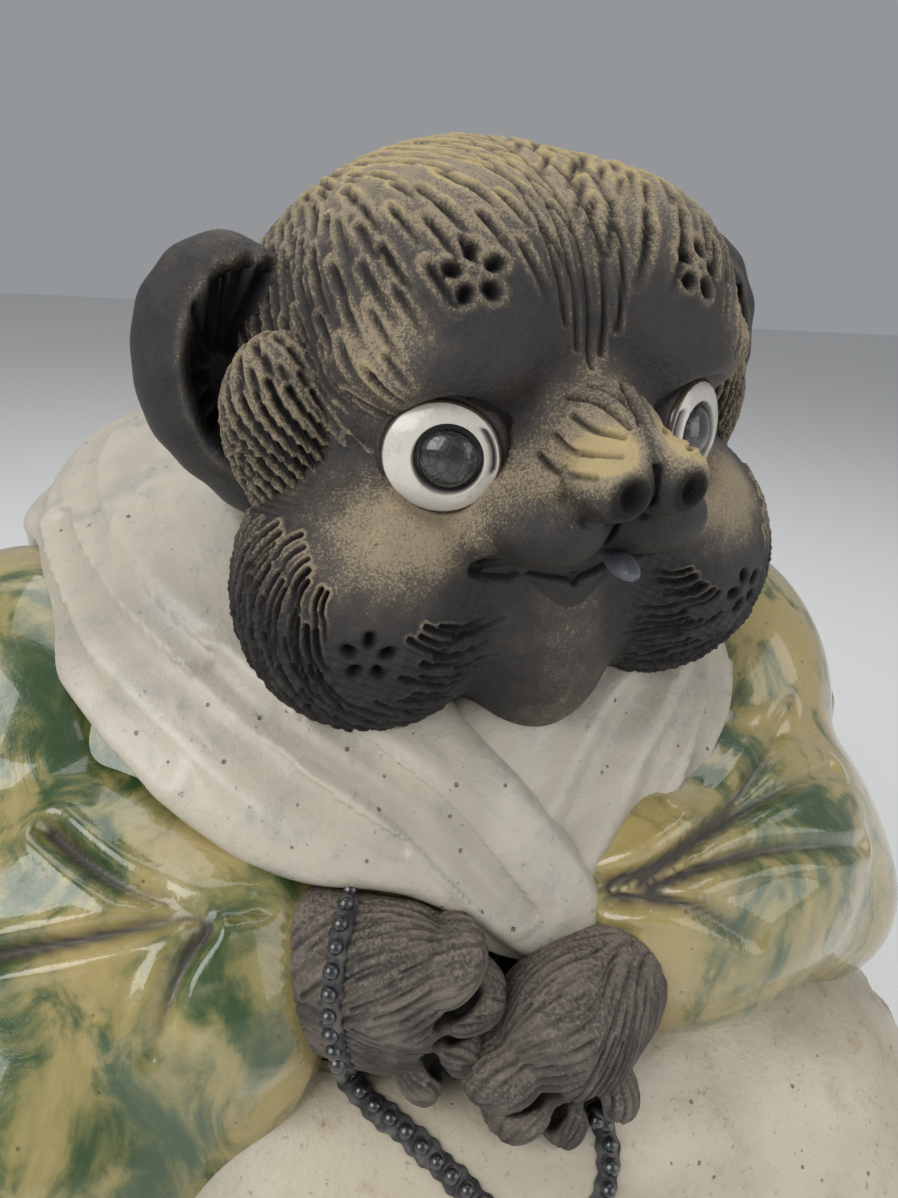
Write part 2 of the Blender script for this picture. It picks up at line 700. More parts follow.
# %% Cut the jowls
jowl_rows, jowl_columns = 190, 400
for side, name in SIDES:
    middle, out_way, outwards, rise = jowl_frame(side)
    lean, swing = polar(np.radians(np.linspace(0.5, 112, jowl_rows)), jowl_columns)
    lean, swing = lean.reshape(-1, 1), swing.reshape(-1, 1)
    ways = out_way * np.cos(lean) + np.sin(lean) * (outwards * np.cos(swing) + rise * np.sin(swing))
    skin = trace(face_field, middle, ways, JOWL_FAR)
    strokes = jowl_lines(side)
    cuts, lips = score_by_hand(skin, strokes, (0.42, 0.68), (0.9, 1.6), 0.45)
    cuts = np.maximum.reduce([cuts, score(skin, stamps, *HOLE)[0], mouth_cut(skin)])
    out = slopes(face_field, skin, 0.15)
    rim = np.clip((np.degrees(lean[:, 0]) - 104) / 6, 0, 1)
    ragged = 0.25 * np.sin(skin[:, 0] * 1.9 + skin[:, 2] * 1.3) * np.sin(skin[:, 2] * 2.3 + skin[:, 1])
    furry = (np.clip((np.degrees(lean[:, 0]) - 30) / 15, 0, 1)
             * np.clip((np.abs(skin[:, 0]) - CHIN_HALF) / 4, 0, 1))
    moved = lips * (cuts < 0.35) - cuts + ragged * furry - 2.0 * rim - 1.6 * under_snout(skin)
    low = np.clip((-20 - skin[:, 2]) / 14, 0, 1) * furry
    skin_dust = dust_on_head(skin, out) + 0.55 * np.clip(lips / 0.4, 0, 1) * (cuts < 0.35)
    lay(f"{name}_jowl", head_to_figure(skin + out * moved[:, None]), jowl_columns, head_clay,
        (f"{name}_cheek",), cut=np.clip(cuts / 1.2 + 0.22 * low, 0, 1), dust=skin_dust * (1 - 0.6 * low))
    print(name, "jowl:", len(strokes), "strokes")

# %% [markdown]
# ## The snout
# Rows run from the nose tip outwards and stop past the patch's edge, where they dip into the
# head. The philtrum is a groove between the nostrils, and the scratches follow the bridge. The
# mouth stays shut: its line is scored along pixels of the photograph, on both sides alike.

# %% Trace and cut the snout
snout_rows, snout_columns = 190, 330
lean, swing = polar(np.linspace(0, 1, snout_rows) ** 0.9 * np.radians(78) + 0.01, snout_columns)
snout_ways = np.stack([np.sin(lean) * np.cos(swing), -np.cos(lean) - 0.1,
                       np.sin(lean) * np.sin(swing)], -1).reshape(-1, 3)
SNOUT_FAR = 50
snout_points = trace(face_field, SNOUT_MIDDLE, unit(snout_ways), SNOUT_FAR)


def over_snout(points):
    """Points moved onto the snout, along the lines from its middle."""
    points = np.array(points, float)
    ways = unit(points.reshape(-1, 3) - SNOUT_MIDDLE)
    return trace(face_field, SNOUT_MIDDLE, ways, SNOUT_FAR).reshape(points.shape)


SCRATCH_PIXELS = [[(540, 455), (560, 473), (596, 479)], [(555, 435), (576, 453), (622, 457)],
                  [(573, 416), (593, 430), (624, 438)], [(568, 397), (600, 404), (630, 428)],
                  [(590, 386), (616, 396), (646, 424)]]
scratches = []
for pixels in SCRATCH_PIXELS:
    line = head_behind(smooth_line(pixels, 8))
    scratches += [over_snout(line * [side, 1, 1]) for side in (-1, 1)]
scratch_cut, scratch_lip = score(snout_points, np.stack(scratches), 0.6, 1.3, 0.35, 0.4)
philtrum = over_snout([[0.2, -78, 3], [0.2, -80, -3], [0, -76, -9], [0, -72, -14], [0, -66, -19]])
nose_cut, _ = score(snout_points, philtrum[None], 0.9, 2.1, 0, 1.0)
nose_wing = over_snout([[[-12.5, -66, 1], [-12.8, -66, -4], [-9.5, -68, -8], [-4, -72, -9.5]],
                        [[12.5, -66, 1], [12.8, -66, -4], [9.5, -68, -8], [4, -72, -9.5]]])
wing_cut, _ = score(snout_points, nose_wing, 0.9, 1.0, 0, 0.8)
q = mirrored(snout_points)
nostril = np.clip(1.3 - np.linalg.norm((q - [6.0, -75.5, -2.2]) / [3.2, 4.6, 3.6], axis=1), 0, 1) * 3
snout_sunk = np.maximum.reduce([scratch_cut, nose_cut, wing_cut, mouth_cut(snout_points)])
rim = np.clip((lean.ravel() - np.radians(70)) / np.radians(7), 0, 1)
snout_out = slopes(face_field, snout_points, 0.15)
snout_grid = snout_points + snout_out * (scratch_lip * (snout_sunk < 0.3) - snout_sunk
                                         - 1.8 * rim)[:, None]
snout_dust = dust_on_head(snout_points, snout_out)
tip = np.exp(-(np.linalg.norm(q - [8, -71.5, 4.5], axis=1) / 6.0) ** 2)
chin_dark = np.clip((-20 - snout_points[:, 2]) / 4, 0, 1)
fold = chin_dark * np.exp(-((q[:, 0] - 16) / 3.2) ** 2) * np.clip((-25 - q[:, 2]) / 5, 0, 1)
snout_cut = np.clip(snout_sunk / 1.2 + nostril + 0.55 * fold, 0, 1.2)
clean = chin_dark * np.clip((q[:, 2] + 62) / 14, 0, 1)
lay("snout_patch", head_to_figure(snout_grid), snout_columns, head_clay, ("snout", "nose"),
    cut=snout_cut, dust=np.clip(snout_dust * (1 - clean) + 1.7 * tip, 0, 1.6))

# %% [markdown]
# ## The eyes
# Each eye is a white button with a thick dark ball set in a deep pit. The white is a dome in
# polar form, whose rows run out from the middle. A thin crescent is scratched beside the ball.
# The lid is a ring of clay round the button.

# %% Build the eyes
white = Finish("eye_white", "white_slip", Roughness=0.16, Coat_Weight=0.5, Coat_Roughness=0.08)
ring = white.mark("cut")
stain = white.noise(3.5, 4, 0.65)
edge = white.mark("dust")
colour = white.mix(white.ramp(stain, 0.5, 0.78) * 0.6, (0.6, 0.57, 0.51), (0.34, 0.29, 0.22))
colour = white.mix(white.ramp(edge + stain * 0.5, 0.75, 1.1), colour, (0.09, 0.06, 0.04))
colour = white.mix(ring.low(1.0), colour, (0.004, 0.004, 0.004))
white.wear(Base_Color=colour, Normal=white.bump(stain, 0.25))
eye_white = white.material

ball_glaze = Finish("pupil_glaze", "black_glaze", Coat_Weight=1.0, Coat_Roughness=0.05)
crackle = ball_glaze.dots(2.2, "DISTANCE_TO_EDGE")
cloud = ball_glaze.noise(2.5, 4)
colour = ball_glaze.mix(ball_glaze.ramp(cloud, 0.45, 0.75), (0.008, 0.008, 0.009), (0.06, 0.056, 0.05))
ball_glaze.wear(Base_Color=colour, Roughness=0.22 + cloud * 0.25,
                Normal=ball_glaze.bump(ball_glaze.ramp(crackle, 0.0, 0.12) + cloud * 0.5, 0.25))


def eye_frame(side):
    """Middle of the eye and its own three ways: towards the nose, up, and out."""
    out = spin(28 * side) @ np.array([0, -1.0, 0])
    inward = side * np.cross([0, 0, 1.0], -out)
    return np.array([26.2 * side, -44.6, -0.4]), inward, np.array([0, 0, 1.0]), out


WHITE_TURNS, BALL_TURNS, LID_TURNS = 150, 90, 160
BALL_ASIDE = 1.4


def button(side, radii, heights, wide, high, aside, turns):
    """A disc in polar form: each row has a radius as a share and a height, and columns go
    round a point that lies aside of the eye's middle, towards the nose."""
    middle, inward, rise, out = eye_frame(side)
    swing = np.linspace(0, 2 * np.pi, turns, endpoint=False)
    a = np.outer(radii, np.cos(swing)) * wide + aside
    b = np.outer(radii, np.sin(swing)) * high
    grid = middle + a[..., None] * inward + b[..., None] * rise + heights[:, None, None] * out
    return grid, a, b


for side, name in SIDES:
    share = np.concatenate([np.linspace(0.01, 1, 80), np.linspace(1.02, 0.9, 8)])
    dome = 2.2 + 3.6 * np.sqrt(np.clip(1 - (0.94 * share) ** 2, 0, 1))
    dome[80:] = np.linspace(dome[79] - 0.8, -4.5, 8)
    grid, a, b = button(side, share, dome, 10.9, 10.3, 0.0, WHITE_TURNS)
    gap = np.hypot(a - BALL_ASIDE, b)
    pit = np.clip((6.6 - gap) / 0.4, 0, 1)
    arc = np.hypot(gap - 8.3, np.clip(np.abs(b - 1.6) - 3.6, 0, 9))
    scratch = np.exp(-(arc / 0.5) ** 2) * (a > 0)
    top = (np.arange(88) < 80)[:, None]
    grid = grid - (pit * 2.4 + scratch * 0.9)[..., None] * eye_frame(side)[3] * top[..., None]
    chip = np.clip((share - 0.93) / 0.06, 0, 1)[:, None] * np.ones_like(a)
    lay(f"{name}_eye_white", head_to_figure(grid), WHITE_TURNS, eye_white, (f"{name}_eye",),
        cut=np.clip(pit + scratch, 0, 1) * top, dust=chip)
    share = np.concatenate([np.linspace(0.01, 1, 40), np.linspace(1.0, 0.96, 6)])
    dome = 3.6 + 2.9 * np.sqrt(np.clip(1 - (0.97 * share) ** 2, 0, 1))
    dome[40:] = np.linspace(dome[39] - 0.4, 1.5, 6)
    grid = button(side, share, dome, 5.3, 5.3, BALL_ASIDE, BALL_TURNS)[0]
    lay(f"{name}_eye_ball", head_to_figure(grid), BALL_TURNS, ball_glaze.material, (f"{name}_pupil",))
    swing = np.linspace(0, 2 * np.pi, LID_TURNS, endpoint=False)
    tube = np.linspace(0, 2 * np.pi, 24, endpoint=False)
    middle, inward, rise, out = eye_frame(side)
    thick = 1.15 + 0.5 * np.clip(np.sin(swing), 0, 1) + 0.12 * np.sin(5 * swing + side)
    reach = 1.0 + (thick * 0.9)[:, None] * (1 + np.cos(tube)) / 11
    lid = (middle + ((10.4 * reach) * np.cos(swing)[:, None])[..., None] * inward
           + ((9.9 * reach) * np.sin(swing)[:, None])[..., None] * rise
           + (0.8 + thick[:, None] * np.sin(tube) * 1.3)[..., None] * out)
    lay(f"{name}_lid", head_to_figure(lid), len(tube), head_clay, (f"{name}_eyelid",), True,
        cut=np.zeros(lid.shape[:2]), dust=0.15 + 0.1 * np.sin(3 * swing)[:, None] * np.ones(24))

# %% [markdown]
# ## The tongue
# A small grey tip shows in the middle of the mouth, with a shallow groove along it.

# %% Build the tongue
tip_clay = Finish("tongue_clay", "dark_clay", Coat_Weight=0.2)
cloud = tip_clay.noise(2.5, 4)
tip_clay.wear(Base_Color=tip_clay.mix(cloud, (0.05, 0.055, 0.065), (0.17, 0.18, 0.2)),
              Roughness=0.35 + cloud * 0.3, Normal=tip_clay.bump(tip_clay.noise(0.6), 0.2))
tongue = fan(40, 60) * [2.7, 5.4, 2.2]
tongue[:, 2] -= 0.6 * np.exp(-(tongue[:, 0] / 0.8) ** 2) * (tongue[:, 2] > 0)
tongue = tongue @ spin(12, 0).T + [3.4, -61.6, -20.4]
lay("tongue_tip", head_to_figure(tongue), 60, tip_clay.material, ("tongue",))

# %% [markdown]
# ## The ears
# An ear is a thick rim round a deep hollow. A row of slots is cut in the hollow's outer wall,
# and a furry tuft stands in front of it.

# %% Build the ears


def ear_field(side):
    def field(p):
        q = p * [side, 1, 1]
        d = ball(q, (57, -5, 11), (19, 12.5, 25.5), 16)
        d = melt(d, ball(q, (50, -3, -9), (12.5, 13, 14), 10), 6)
        return carve(d, ball(q, (52.5, -18, 10.5), (14.6, 13.5, 19.5), 16), 2.5)
    return field


def tuft_field(side):
    def field(p):
        q = p * [side, 1, 1]
        return melt(ball(q, (49.5, -21.5, 1.5), (13, 8.5, 18), 30), ball(q, (46, -16, -15), (9, 9, 10)), 6)
    return field


for side, name in SIDES:
    field, middle, columns, far = ear_field(side), np.array([59.0 * side, 0.5, 6]), 270, 45
    skin = trace(field, middle, fan(170, columns, 0, 0.35, 0), far)
    slots = []
    for turn in np.radians(np.linspace(96, -62, 9)):
        spoke = np.array([np.cos(turn), 0, np.sin(turn)])
        line = [np.array([52.5, depth, 10.5]) + spoke * [14.2 * s, 1, 19.0 * s]
                for s, depth in ((0.66, -8.0), (0.86, -11.0), (0.99, -15.0))]
        line = np.array(line) * [side, 1, 1]
        slots.append(trace(field, middle, unit(line - middle), far))
    slot_cut, _ = score(skin, np.stack(slots), 1.25, 4.0, 0, 1.0)
    gap = np.linalg.norm((skin * [side, 1, 1] - [52.5, -14, 10.5]) @ spin(16) / [14, 12, 19.5], axis=1)
    out = slopes(field, skin)
    ripple = 0.35 * np.sin(skin[:, 2] * 0.5 + 1.3 * side) * np.cos(skin[:, 0] * 0.4)
    skin_dust = (0.35 * np.clip(out[:, 2], 0, 1) + 0.45 * np.clip(1 - np.abs(gap - 1.12) / 0.12, 0, 1)
                 * np.clip(-out[:, 1] + 0.3, 0, 1))
    lay(f"{name}_ear_rim", head_to_figure(skin + out * (ripple - slot_cut)[:, None]), columns,
        head_clay, (f"{name}_ear",), dust=skin_dust,
        cut=np.clip(slot_cut / 1.2 + 0.8 * np.clip((0.62 - gap) / 0.2, 0, 1), 0, 1))
    field, middle, columns, far = tuft_field(side), np.array([48.0 * side, -18, -1]), 210, 40
    skin = trace(field, middle, fan(130, columns, 1), far)
    seeds = trace(field, middle, golden(330), far)
    seeds = seeds[seeds[:, 1] < -15]
    lines = walk(field, middle, seeds, lambda p: np.ones((len(p), 1)) * [-side * 0.55, -0.2, -1],
                 rng.uniform(3.5, 6.5, len(seeds)), far)
    tuft_cut, tuft_lip = score_by_hand(skin, lines, (0.5, 0.85), (0.9, 1.9), 0.4)
    out = slopes(field, skin)
    lay(f"{name}_tuft", head_to_figure(skin + out * (tuft_lip * (tuft_cut < 0.4) - tuft_cut)[:, None]),
        columns, head_clay, (f"{name}_ear_tuft",), cut=np.clip(tuft_cut / 1.3, 0, 1),
        dust=0.25 + 0.3 * np.clip(out[:, 2], 0, 1) + 0.5 * np.clip(tuft_lip / 0.4, 0, 1))

# %% [markdown]
# ## Glazes of the robe
# The green glaze was poured thick and thin: it is dark green where it pooled, yellow and cream
# where it ran off, and a clear gloss lies over all of it. Fold lines cut through to the grey
# clay. The white glaze of the shawl is satin, with pits and grey-blue specks; the lap has
# brown specks of iron.

# %% Mix the glazes
green = Finish("green_glaze_coat", "green_glaze", Coat_Roughness=0.06, Coat_IOR=1.5)
cut = green.mark("cut")
flow = green.node("ShaderNodeMapping", {}, green.place, Scale=(1, 1, 0.6))[0]
pool = green.noise(46, 4, 0.55, flow, 0.6)
mid = green.noise(15, 5, 0.6, flow, 0.8)
small = green.noise(3.2, 4, 0.6)
speck = green.dots(5.5)
colour = green.mix(green.ramp(pool * 0.65 + mid * 0.45, 0.45, 0.67), (0.4, 0.31, 0.12), (0.16, 0.17, 0.05))
colour = green.mix(green.ramp(mid * 0.75 + pool * 0.4, 0.55, 0.7), colour, (0.034, 0.075, 0.02))
colour = green.mix(green.ramp(green.noise(24, 3, 0.5, None, 0.4), 0.58, 0.76, 0.7), colour,
                   (0.5, 0.46, 0.3))
colour = green.mix(green.ramp(small, 0.62, 0.8, 0.35), colour, (0.08, 0.09, 0.03))
colour = green.mix(green.ramp(speck, 0.1, 0.05, 0.7), colour, (0.07, 0.05, 0.025))
colour = green.mix(green.mark("dust").low(1.0), colour, (0.5, 0.4, 0.17))
colour = green.mix(cut.low(1.0), colour, (0.055, 0.045, 0.035))
green.wear(Base_Color=colour, Coat_Weight=0.9 - cut.low(1.0) * 0.8, Roughness=0.2 + small * 0.15 + cut * 0.4,
           Normal=green.bump(small * 0.3 + mid * 0.7, 0.9))
green_glaze = green.material


def cream(name, warm, specks, spots):
    """White satin glaze: stained, pitted, with specks of one colour."""
    make = Finish(name, "cream_glaze", Coat_Weight=0.35, Coat_Roughness=0.25)
    cut = make.mark("cut")
    cloud = make.noise(38, 4, 0.6, None, 0.5)
    stain = make.noise(9, 5, 0.65)
    fine = make.noise(1.6, 3)
    pit = make.dots(6.5)
    colour = make.mix(make.ramp(cloud, 0.38, 0.66), warm, tuple(c * 0.8 for c in warm))
    colour = make.mix(make.ramp(stain, 0.5, 0.72, 0.6), colour, specks)
    spot = make.ramp(make.noise(1.5, 3, 0.6) + stain * 0.25, 0.78 - 0.06 * spots, 0.9)
    colour = make.mix(spot * 0.75, colour, tuple(c * 0.45 for c in specks))
    hole = make.ramp(pit, 0.09, 0.045)
    colour = make.mix(hole * 0.8, colour, (0.1, 0.075, 0.05))
    colour = make.mix(cut.low(1.0) * 0.8, colour, (0.16, 0.125, 0.09))
    relief = make.bump(stain * 0.6 + cloud * 0.6 - hole * 0.5, 1.0)
    relief = make.bump(fine, 0.18, relief)
    return make.wear(Base_Color=colour, Roughness=0.36 + fine * 0.15 + cut * 0.3, Normal=relief)


shawl_glaze = cream("shawl_glaze", (0.53, 0.485, 0.39), (0.34, 0.32, 0.3), 0.2)
lap_glaze = cream("lap_glaze", (0.53, 0.47, 0.35), (0.38, 0.3, 0.19), 1.0)

# %% [markdown]
# ## The body's rings
# The lap and the upper robe are stacks of oval rings. Between two rings the half widths and
# half depths follow a smooth curve, so the body has no edges at the rings.

# %% Rings of the lap and of the upper robe
LAP_RINGS = np.array([(-6, 133, 111, 0), (0, 133, 111, 0), (14, 140, 118, 0), (46, 141, 120, 0),
                      (80, 136, 117, 0), (102, 119, 105, 0), (115, 88, 80, 0), (122, 40, 36, 0)], float)
ROBE_RINGS = np.array([(76, 116, 90, 16), (84, 118, 92, 16), (122, 122, 92, 16), (155, 119, 89, 18),
                       (182, 106, 80, 25), (204, 88, 67, 35), (222, 69, 50, 45), (233, 44, 27, 50),
                       (240, 20, 12, 52)], float)


def stack(p, rings):
    """Distance to a stack of rings, told from the level ring at each point's height."""
    wide, deep, back = np.moveaxis(ring_at(rings, p[:, 2]), -1, 0)
    k = np.hypot(p[:, 0] / wide, (p[:, 1] - back) / deep)
    level = (k - 1) * np.minimum(wide, deep) * 0.8
    return np.maximum(level, np.maximum(p[:, 2] - rings[-1, 0], rings[0, 0] - p[:, 2]))


WALL = 10


def inner_wall(rings, heights, shares, ways):
    """Rows of the hollow inside a stack: its rings less the wall, at heights and narrowed by
    shares, with a column for each way."""
    heights, shares = np.array(heights), np.array(shares)
    wide, deep, back = ring_at(rings, heights).T
    turn = np.arctan2(ways[:, 1], ways[:, 0])
    return np.stack([((wide - WALL) * shares)[:, None] * np.cos(turn),
                     back[:, None] + ((deep - WALL) * shares)[:, None] * np.sin(turn),
                     heights[:, None] * np.ones_like(turn)], -1).reshape(-1, 3)


# %% [markdown]
# ## The lap
# The lap is one broad form: a stack of rings with two knees melted in. Faint creases run from
# the knees to the middle. The walls are 10 mm thick, so the rows go on under the foot and up the
# inside.

# %% Build the lap


def lap_field(p):
    q = mirrored(p)
    d = melt(stack(p, LAP_RINGS), ball(q, (84, -57, 54), (62, 62, 51)), 14)
    return np.maximum(d, -p[:, 2])


# Only the rows between the upper robe and the foot are kept.
lap_columns = 360
lap_ways = fan(180, lap_columns, 2, 0.3, -90)
lap_middle, lap_far = np.array([0, 0, 45.0]), 175
lean = np.degrees(np.arccos(lap_ways[:, 2])).round(6)
lap_ways = lap_ways[(lean > 50) & (lean < 113)]
lap_skin = trace(lap_field, lap_middle, lap_ways, lap_far, 46)
lap_out = slopes(lap_field, lap_skin)
creases = []
for side in (-1, 1):
    for start, end, sag in (((18, -118, 84), (76, -117, 74), 6), ((10, -118, 62), (70, -120, 40), 9),
                            ((25, -115, 38), (92, -116, 20), 6), ((120, -60, 84), (137, 10, 62), 7),
                            ((110, -80, 30), (139, -10, 22), 5), ((137, 40, 78), (90, 92, 60), 5),
                            ((60, 106, 70), (100, 78, 40), 6)):
        line = bow(start, end, [0, 0, -sag]) * [side, 1, 1]
        creases.append(trace(lap_field, lap_middle, unit(line - lap_middle), lap_far))
crease_cut, crease_lip = score(lap_skin, np.stack(creases), 2.6, 1.8, 0.5, 0.3)
low_wave = 0.5 * np.sin(lap_skin[:, 0] * 0.045 + 1) * np.cos(lap_skin[:, 2] * 0.07)
flat = np.clip(lap_skin[:, 2] / 6, 0, 1)
lap_grid = lap_skin + lap_out * ((crease_lip - crease_cut + low_wave) * flat - 0.5 * flat)[:, None]
lap_cut = np.clip(crease_cut / 2.2, 0, 0.8) * flat
hollow = inner_wall(LAP_RINGS, [0, 0, 20, 45, 70, 86, 90, 92, 96],
                    [1, 1, 1, 1, 1, 1, 0.97, 0.92, 0.85], lap_ways[:lap_columns])
lay("lap_clay", np.vstack([lap_grid, hollow]), lap_columns, lap_glaze, ("lap_robe",), True,
    cut=np.concatenate([lap_cut, np.full(len(hollow), 0.4)]))

# %% [markdown]
# ## The upper robe
# Most of it lies behind the sleeves and the shawl. Its back has four long folds.

# %% Build the upper robe


def robe_field(p):
    return stack(p, ROBE_RINGS)


robe_rows, robe_columns = 140, 240
robe_middle, robe_far = np.array([0, 22, 140.0]), 150
robe_ways = fan(robe_rows, robe_columns, 2, 0.0, -90)
robe_skin = trace(robe_field, robe_middle, robe_ways, robe_far, 46)
robe_rows = (robe_skin[:, 2].reshape(robe_rows, -1).min(1) > 78).sum()
robe_skin = robe_skin[:robe_rows * robe_columns]
robe_out = slopes(robe_field, robe_skin)
folds = []
for start, end, bend in (((-18, 110, 150), (-30, 108, 88), 8), ((34, 106, 152), (52, 100, 86), -9),
                         ((-66, 92, 140), (-84, 80, 90), 7), ((84, 80, 142), (98, 62, 92), -6)):
    line = bow(start, end, [bend, 0, 0])
    folds.append(trace(robe_field, robe_middle, unit(line - robe_middle), robe_far))
fold_cut, fold_lip = score(robe_skin, np.stack(folds), 3.2, 3.2, 0.4, 0.2)
robe_grid = robe_skin + robe_out * (fold_lip - fold_cut)[:, None]
robe_cut = np.clip((fold_cut - 1.2) / 1.6, 0, 1)
hollow = inner_wall(ROBE_RINGS, [80, 100, 122, 145, 152, 158, 160, 160],
                    [1, 1, 1, 1, 0.9, 0.7, 0.4, 0.02], robe_ways[:robe_columns])
lay("robe_clay", np.vstack([robe_grid, hollow]), robe_columns, green_glaze, ("outer_robe",),
    cut=np.concatenate([robe_cut, np.ones(len(hollow))]))

# %% [markdown]
# ## The sleeves
# A sleeve is an upper arm and a wide forearm melted together. It ends in a sharp hem above
# its lining, which is the same form set a little lower. The fold lines were placed by looking
# where the photograph shows them: each is a line of pixels followed back onto the clay.

# %% Build the sleeves and linings
HEMS = {-1: (112, 150, 84), 1: (95, 161, 79)}
UPPER_ARM = (78, -38, 128), (64, 45, 42), 32
FOREARMS = {-1: (((88, -52, 92), (52, 50, 52), 16), ((48, -69, 124), (22, 25, 36), 40)),
            1: (((103, -27, 114), (37, 46, 36), 24), ((46, -66, 142), (24, 22, 24), -20))}


def arm_field(side, drop=0.0):
    """One sleeve, or its lining set lower by drop: an upper arm, a forearm and a cuff, each
    with a middle, half sizes and a turn. Only the sleeve has a rounded elbow. A wide circle in
    the front view, given by its middle and radius, ends it in a hem."""
    def field(p):
        q = p * [side, 1, 1]
        down, slim = np.array([0, 0.3, -0.8]) * drop, 0.5 * drop
        arm, forearm, cuff = (ball(q, middle + down, np.array(halves) - slim, turn)
                              for middle, halves, turn in (UPPER_ARM, *FOREARMS[side]))
        d = melt(arm, melt(forearm, cuff, 8), 8)
        if not drop:
            d = melt(d, ball(q, (97, 8, 146), (42, 54, 56), -16), 5)
        across, up, radius = HEMS[side]
        hem = np.hypot(q[:, 0] - across, q[:, 2] - up) - radius - drop
        return carve(d, -hem, 2.0)
    return field


NEAR_GROOVES = [[(48, 828), (88, 862), (130, 888), (196, 912)],
                [(-60, 972), (0, 956), (100, 936), (190, 914), (262, 903)],
                [(204, 928), (176, 972), (150, 1056)]]
FAR_GROOVES = [[(604, 886), (660, 862), (735, 800), (792, 708)],
               [(640, 884), (740, 812), (836, 764)],
               [(650, 892), (760, 852), (866, 846)],
               [(610, 900), (690, 908), (760, 944)]]
for (side, name), pixels in zip(SIDES, (NEAR_GROOVES, FAR_GROOVES)):
    field, middle, columns = arm_field(side), np.array([88.0 * side, -12, 142]), 300
    skin = trace(field, middle, fan(190, columns, 2, 0.35, -90), 130)
    lines = np.stack([smooth_line(seen(field, smooth_line(line, 12)), 12) for line in pixels])
    hidden = []
    for start, end, bend in (((132, 30, 170), (128, 46, 112), 8), ((112, 52, 176), (104, 60, 118), 6),
                             ((140, -14, 158), (139, -20, 112), 6)):
        line = bow(start, end, [0, bend, 0], 12) * [side, 1, 1]
        hidden.append(trace(field, middle, unit(line - middle), 110))
    lines = np.concatenate([lines, np.stack(hidden)])
    wide = [2.6, 2.4, 2.5, 2.4, 2.2, 2.2, 2.2][:len(lines)]
    groove, lip = score(skin, lines, wide, 3.6, 0.35, 0.15)
    out = slopes(field, skin)
    wave = 0.6 * np.sin(skin[:, 0] * 0.06 + skin[:, 2] * 0.05) * np.cos(skin[:, 1] * 0.07)
    lay(f"{name}_sleeve_clay", skin + out * (lip - groove + wave - 0.4)[:, None], columns,
        green_glaze, (f"{name}_sleeve",), cut=np.clip((groove - 1.3) / 1.4, 0, 1))
    field, middle, columns = arm_field(side, 5.0), np.array([80.0 * side, -38, 116]), 200
    skin = trace(field, middle, fan(100, columns, 2, 0.35, -90), 130)
    lay(f"{name}_lining_clay", skin, columns, green_glaze, (f"{name}_sleeve_lining",),
        dust=np.full(len(skin), 0.55))

# %% [markdown]
# ## The shawl
# The shawl is one long slab of clay. It starts under the chin on the figure's left, runs round
# the nape and ends in a rounded tip over the paws. A row of the grid is a loop round the
# slab: across its top from the outer edge to the inner one, and back underneath. The edges
# are given on the robe's rings, as an angle from the front and a height.

# %% Build the shawl
RIGHT_OUTER = [(-180, 142), (-150, 151), (-122, 172), (-98, 192), (-78, 199), (-58, 188), (-40, 175),
               (-29, 164), (-20, 157), (-8, 155), (-1, 148.5), (3, 141), (6.5, 136.5)]
RIGHT_INNER = [(-180, 238), (-150, 238), (-120, 238), (-90, 237), (-64, 233), (-42, 224), (-28, 214),
               (-16, 204), (-5, 193), (4, 180), (10.5, 164), (14, 150), (13.5, 141)]
LEFT_OUTER = [(180, 142), (150, 151), (122, 172), (98, 192), (78, 199), (58, 188), (42, 173),
              (30, 160), (22, 150), (14, 141), (9, 136), (7, 134)]
LEFT_INNER = [(180, 238), (150, 238), (120, 238), (90, 237), (64, 233), (42, 224), (24, 210),
              (6, 196), (-5, 178), (-6, 160), (-1, 144), (4, 138)]


def on_robe(turn, up, lift):
    """Points of the robe at an angle from the front and a height, raised by lift along the
    level direction out of the ring."""
    wide, deep, back = np.moveaxis(ring_at(ROBE_RINGS, up), -1, 0)
    a = np.radians(turn)
    x, y = wide * np.sin(a), -deep * np.cos(a)
    out = unit(np.stack([x / wide ** 2, y / deep ** 2, 0 * x], -1))
    rise = np.clip((up - 185) / 40, 0, 0.8)[..., None] * np.array([0, 0, 1.0])
    return np.stack([x, y + back, up], -1) + unit(out + rise) * lift[..., None]


def slab(outer, inner, thick, rows, across):
    """Loops round a slab whose edges are rounded. Its end, the last part of its length, is
    round too, seen from above."""
    end = 0.045
    outer, inner = smooth_line(outer, rows), smooth_line(inner, rows)
    s = np.linspace(0, 1, across)
    rounded = np.clip(1 - np.abs(2 * s - 1) ** 7, 0, 1) ** 0.5
    tip = np.clip(1 - (np.clip(np.arange(rows) / (rows - 1) - 1 + end, 0, 1) / end) ** 4, 0, 1) ** 0.5
    plan = (1 - s)[None, :, None] * outer[:, None] + s[None, :, None] * inner[:, None]
    top = on_robe(plan[..., 0], plan[..., 1], (thick - 1.0) * rounded * tip[:, None] + 0.6)
    low = on_robe(plan[..., 0], plan[..., 1], -2.0 * np.ones_like(plan[..., 0]))
    return np.concatenate([top, low[:, ::-1]], 1).reshape(-1, 3)


